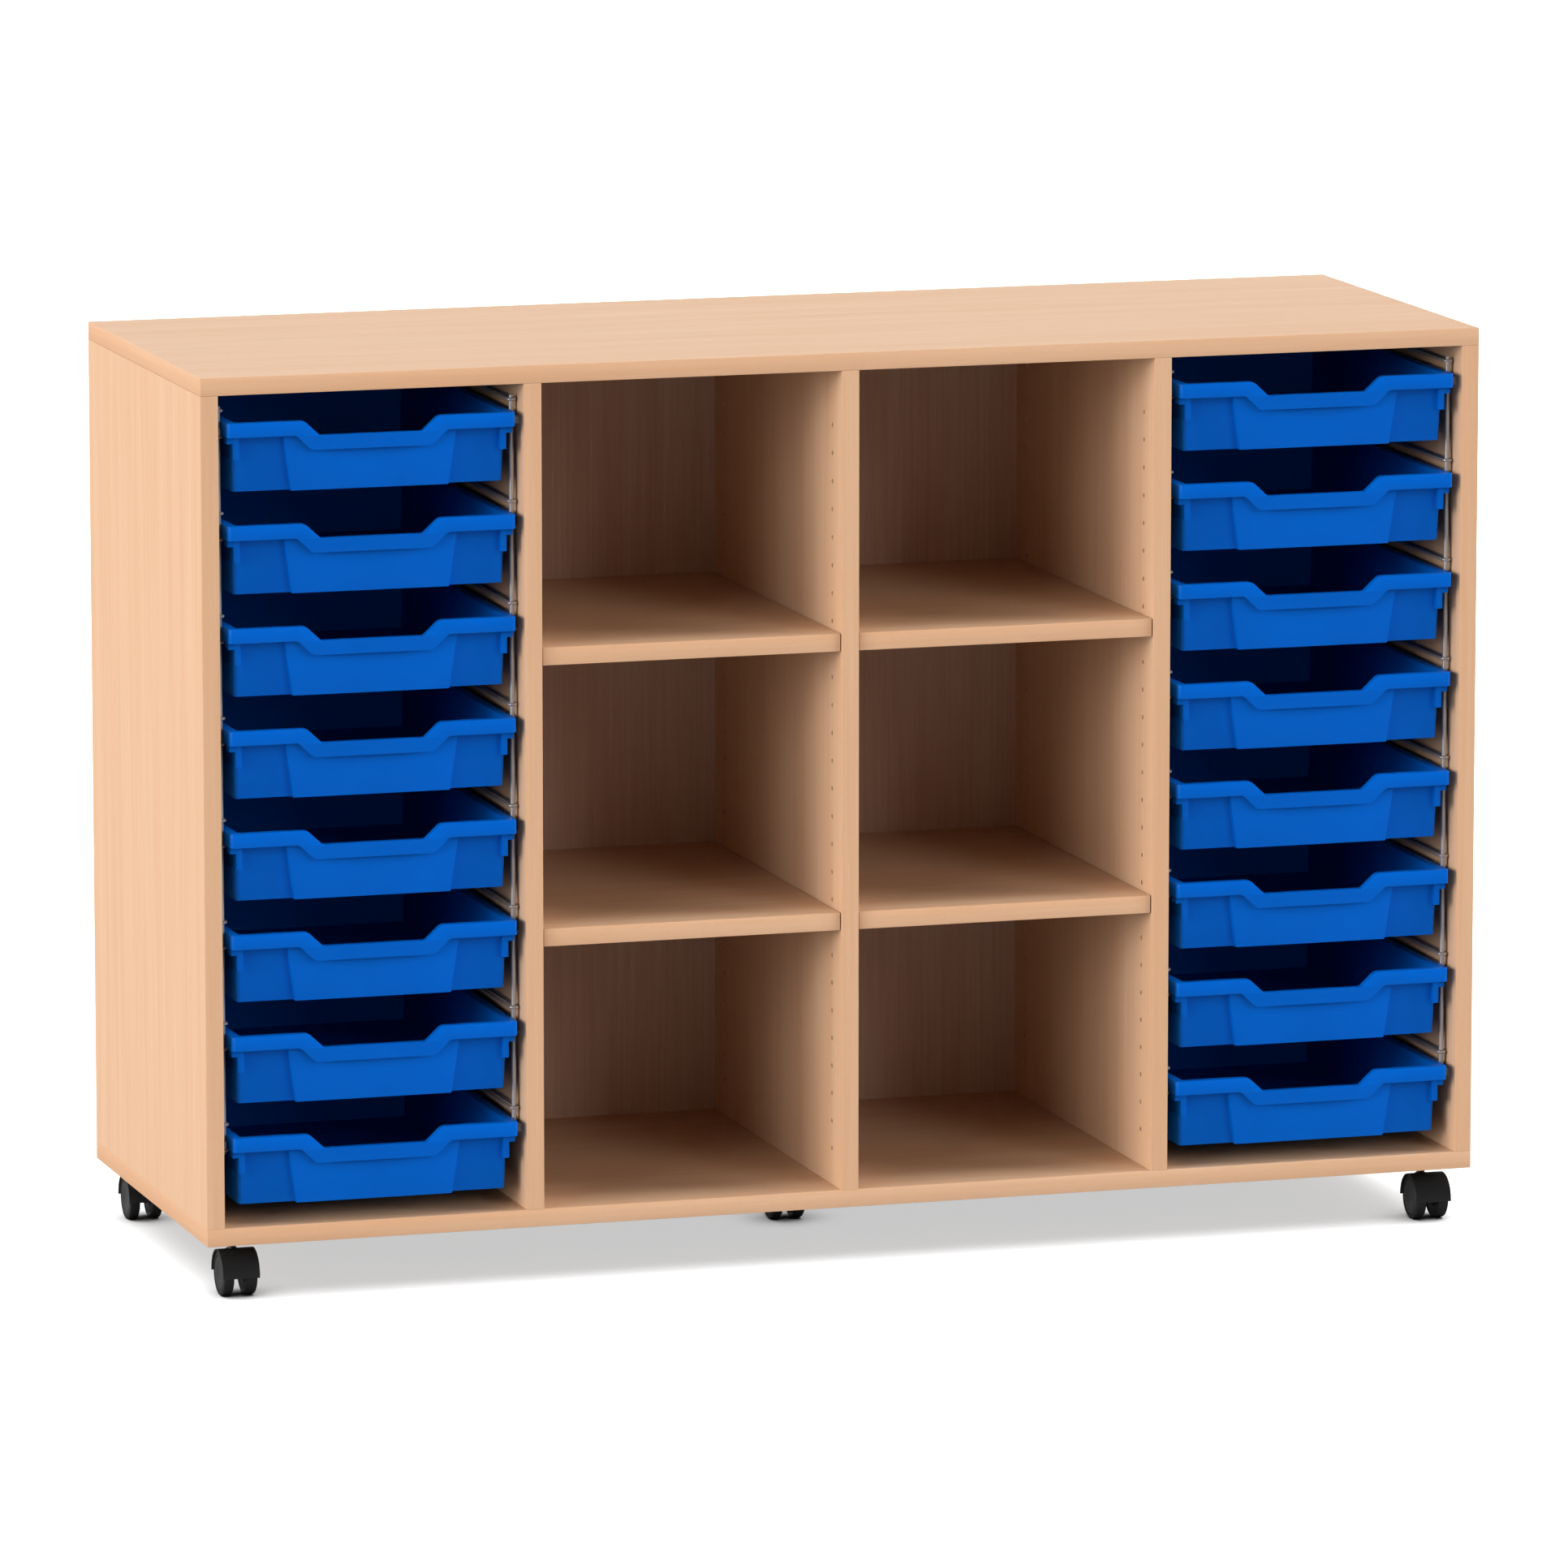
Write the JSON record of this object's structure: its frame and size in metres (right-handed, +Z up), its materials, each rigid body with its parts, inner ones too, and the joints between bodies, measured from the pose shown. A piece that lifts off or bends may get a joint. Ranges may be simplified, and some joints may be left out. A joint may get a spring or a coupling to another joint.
{
  "type": "classroom tray storage unit",
  "caption": "Low mobile storage unit on castors: a beech-effect carcase with a column of blue sliding trays on wire runners at each side of open, adjustable shelves.",
  "frame": {"origin": "on the floor, under the middle of the whole unit, trays included", "axes": "+X along the front to the viewer's right, +Y from front to back, +Z up"},
  "size_m": [1.42, 0.495, 0.9834],
  "materials": {
    "beech_board": "beech-effect laminate with a fine satin sheen",
    "back_board": "beech-effect laminate, thin board",
    "beech_edge": "plain beech-coloured edge band, satin",
    "dowel_wood": "plain fluted beech",
    "zinc": "bright zinc die casting",
    "pin_steel": "nickel-plated steel",
    "chrome_wire": "bright zinc or chrome plated wire",
    "clip_plastic": "translucent moulded plastic",
    "tray_plastic": "blue moulded polypropylene, soft gloss",
    "stem_steel": "plain steel",
    "socket_plastic": "black nylon",
    "castor_black": "black moulded nylon, slight sheen",
    "wheel_black": "black nylon wheel with a dark grey disc"
  },
  "bodies": {
    "carcase": {"top_panel": "beech_board", "bottom_panel": "beech_board", "left_side_panel": "beech_board", "right_side_panel": "beech_board", "left_partition": "beech_board", "middle_partition": "beech_board", "right_partition": "beech_board", "back_panel": "back_board", "left_lower_shelf": "beech_board", "left_upper_shelf": "beech_board", "right_lower_shelf": "beech_board", "right_upper_shelf": "beech_board", "shelf_pins": "pin_steel", "carcase_dowels": "dowel_wood", "cam_discs": "zinc", "cam_bolts": "zinc", "edge_bands": "beech_edge", "left_outer_runner": "chrome_wire", "left_inner_runner": "chrome_wire", "right_inner_runner": "chrome_wire", "right_outer_runner": "chrome_wire", "runner_clips": "clip_plastic", "castor_stems": "stem_steel", "castor_sockets": "socket_plastic"},
    "left_tray_1": {"left_tray_1": "tray_plastic"},
    "left_tray_2": {"left_tray_2": "tray_plastic"},
    "left_tray_3": {"left_tray_3": "tray_plastic"},
    "left_tray_4": {"left_tray_4": "tray_plastic"},
    "left_tray_5": {"left_tray_5": "tray_plastic"},
    "left_tray_6": {"left_tray_6": "tray_plastic"},
    "left_tray_7": {"left_tray_7": "tray_plastic"},
    "left_tray_8": {"left_tray_8": "tray_plastic"},
    "right_tray_1": {"right_tray_1": "tray_plastic"},
    "right_tray_2": {"right_tray_2": "tray_plastic"},
    "right_tray_3": {"right_tray_3": "tray_plastic"},
    "right_tray_4": {"right_tray_4": "tray_plastic"},
    "right_tray_5": {"right_tray_5": "tray_plastic"},
    "right_tray_6": {"right_tray_6": "tray_plastic"},
    "right_tray_7": {"right_tray_7": "tray_plastic"},
    "right_tray_8": {"right_tray_8": "tray_plastic"},
    "front_left_castor": {"front_left_castor_hood": "castor_black", "front_left_castor_axle": "stem_steel"},
    "front_right_castor": {"front_right_castor_hood": "castor_black", "front_right_castor_axle": "stem_steel"},
    "rear_left_castor": {"rear_left_castor_hood": "castor_black", "rear_left_castor_axle": "stem_steel"},
    "rear_right_castor": {"rear_right_castor_hood": "castor_black", "rear_right_castor_axle": "stem_steel"},
    "middle_castor": {"middle_castor_hood": "castor_black", "middle_castor_axle": "stem_steel"},
    "front_left_castor_left_wheel": {"front_left_castor_left_wheel": "wheel_black"},
    "front_left_castor_right_wheel": {"front_left_castor_right_wheel": "wheel_black"},
    "front_right_castor_left_wheel": {"front_right_castor_left_wheel": "wheel_black"},
    "front_right_castor_right_wheel": {"front_right_castor_right_wheel": "wheel_black"},
    "rear_left_castor_left_wheel": {"rear_left_castor_left_wheel": "wheel_black"},
    "rear_left_castor_right_wheel": {"rear_left_castor_right_wheel": "wheel_black"},
    "rear_right_castor_left_wheel": {"rear_right_castor_left_wheel": "wheel_black"},
    "rear_right_castor_right_wheel": {"rear_right_castor_right_wheel": "wheel_black"},
    "middle_castor_left_wheel": {"middle_castor_left_wheel": "wheel_black"},
    "middle_castor_right_wheel": {"middle_castor_right_wheel": "wheel_black"}
  },
  "joints": [
    {"name": "left_tray_1_slide", "type": "slide", "parent": "carcase", "child": "left_tray_1", "axis": [0, -1, 0], "range_m": [0, 0.3]},
    {"name": "left_tray_2_slide", "type": "slide", "parent": "carcase", "child": "left_tray_2", "axis": [0, -1, 0], "range_m": [0, 0.3]},
    {"name": "left_tray_3_slide", "type": "slide", "parent": "carcase", "child": "left_tray_3", "axis": [0, -1, 0], "range_m": [0, 0.3]},
    {"name": "left_tray_4_slide", "type": "slide", "parent": "carcase", "child": "left_tray_4", "axis": [0, -1, 0], "range_m": [0, 0.3]},
    {"name": "left_tray_5_slide", "type": "slide", "parent": "carcase", "child": "left_tray_5", "axis": [0, -1, 0], "range_m": [0, 0.3]},
    {"name": "left_tray_6_slide", "type": "slide", "parent": "carcase", "child": "left_tray_6", "axis": [0, -1, 0], "range_m": [0, 0.3]},
    {"name": "left_tray_7_slide", "type": "slide", "parent": "carcase", "child": "left_tray_7", "axis": [0, -1, 0], "range_m": [0, 0.3]},
    {"name": "left_tray_8_slide", "type": "slide", "parent": "carcase", "child": "left_tray_8", "axis": [0, -1, 0], "range_m": [0, 0.3]},
    {"name": "right_tray_1_slide", "type": "slide", "parent": "carcase", "child": "right_tray_1", "axis": [0, -1, 0], "range_m": [0, 0.3]},
    {"name": "right_tray_2_slide", "type": "slide", "parent": "carcase", "child": "right_tray_2", "axis": [0, -1, 0], "range_m": [0, 0.3]},
    {"name": "right_tray_3_slide", "type": "slide", "parent": "carcase", "child": "right_tray_3", "axis": [0, -1, 0], "range_m": [0, 0.3]},
    {"name": "right_tray_4_slide", "type": "slide", "parent": "carcase", "child": "right_tray_4", "axis": [0, -1, 0], "range_m": [0, 0.3]},
    {"name": "right_tray_5_slide", "type": "slide", "parent": "carcase", "child": "right_tray_5", "axis": [0, -1, 0], "range_m": [0, 0.3]},
    {"name": "right_tray_6_slide", "type": "slide", "parent": "carcase", "child": "right_tray_6", "axis": [0, -1, 0], "range_m": [0, 0.3]},
    {"name": "right_tray_7_slide", "type": "slide", "parent": "carcase", "child": "right_tray_7", "axis": [0, -1, 0], "range_m": [0, 0.3]},
    {"name": "right_tray_8_slide", "type": "slide", "parent": "carcase", "child": "right_tray_8", "axis": [0, -1, 0], "range_m": [0, 0.3]},
    {"name": "front_left_castor_swivel", "type": "hinge", "parent": "carcase", "child": "front_left_castor", "pos_m": [-0.671, -0.1955, 0.05], "axis": [0, 0, 1], "continuous": true},
    {"name": "front_right_castor_swivel", "type": "hinge", "parent": "carcase", "child": "front_right_castor", "pos_m": [0.671, -0.1955, 0.05], "axis": [0, 0, 1], "continuous": true},
    {"name": "rear_left_castor_swivel", "type": "hinge", "parent": "carcase", "child": "rear_left_castor", "pos_m": [-0.671, 0.2175, 0.05], "axis": [0, 0, 1], "continuous": true},
    {"name": "rear_right_castor_swivel", "type": "hinge", "parent": "carcase", "child": "rear_right_castor", "pos_m": [0.671, 0.2175, 0.05], "axis": [0, 0, 1], "continuous": true},
    {"name": "middle_castor_swivel", "type": "hinge", "parent": "carcase", "child": "middle_castor", "pos_m": [0, 0.011, 0.05], "axis": [0, 0, 1], "continuous": true},
    {"name": "front_left_castor_left_wheel_spin", "type": "hinge", "parent": "front_left_castor", "child": "front_left_castor_left_wheel", "pos_m": [-0.671, -0.2115, 0.024], "axis": [1, 0, 0], "continuous": true},
    {"name": "front_left_castor_right_wheel_spin", "type": "hinge", "parent": "front_left_castor", "child": "front_left_castor_right_wheel", "pos_m": [-0.671, -0.2115, 0.024], "axis": [1, 0, 0], "continuous": true},
    {"name": "front_right_castor_left_wheel_spin", "type": "hinge", "parent": "front_right_castor", "child": "front_right_castor_left_wheel", "pos_m": [0.671, -0.2115, 0.024], "axis": [1, 0, 0], "continuous": true},
    {"name": "front_right_castor_right_wheel_spin", "type": "hinge", "parent": "front_right_castor", "child": "front_right_castor_right_wheel", "pos_m": [0.671, -0.2115, 0.024], "axis": [1, 0, 0], "continuous": true},
    {"name": "rear_left_castor_left_wheel_spin", "type": "hinge", "parent": "rear_left_castor", "child": "rear_left_castor_left_wheel", "pos_m": [-0.671, 0.2015, 0.024], "axis": [1, 0, 0], "continuous": true},
    {"name": "rear_left_castor_right_wheel_spin", "type": "hinge", "parent": "rear_left_castor", "child": "rear_left_castor_right_wheel", "pos_m": [-0.671, 0.2015, 0.024], "axis": [1, 0, 0], "continuous": true},
    {"name": "rear_right_castor_left_wheel_spin", "type": "hinge", "parent": "rear_right_castor", "child": "rear_right_castor_left_wheel", "pos_m": [0.671, 0.2015, 0.024], "axis": [1, 0, 0], "continuous": true},
    {"name": "rear_right_castor_right_wheel_spin", "type": "hinge", "parent": "rear_right_castor", "child": "rear_right_castor_right_wheel", "pos_m": [0.671, 0.2015, 0.024], "axis": [1, 0, 0], "continuous": true},
    {"name": "middle_castor_left_wheel_spin", "type": "hinge", "parent": "middle_castor", "child": "middle_castor_left_wheel", "pos_m": [0, -0.005, 0.024], "axis": [1, 0, 0], "continuous": true},
    {"name": "middle_castor_right_wheel_spin", "type": "hinge", "parent": "middle_castor", "child": "middle_castor_right_wheel", "pos_m": [0, -0.005, 0.024], "axis": [1, 0, 0], "continuous": true}
  ]
}
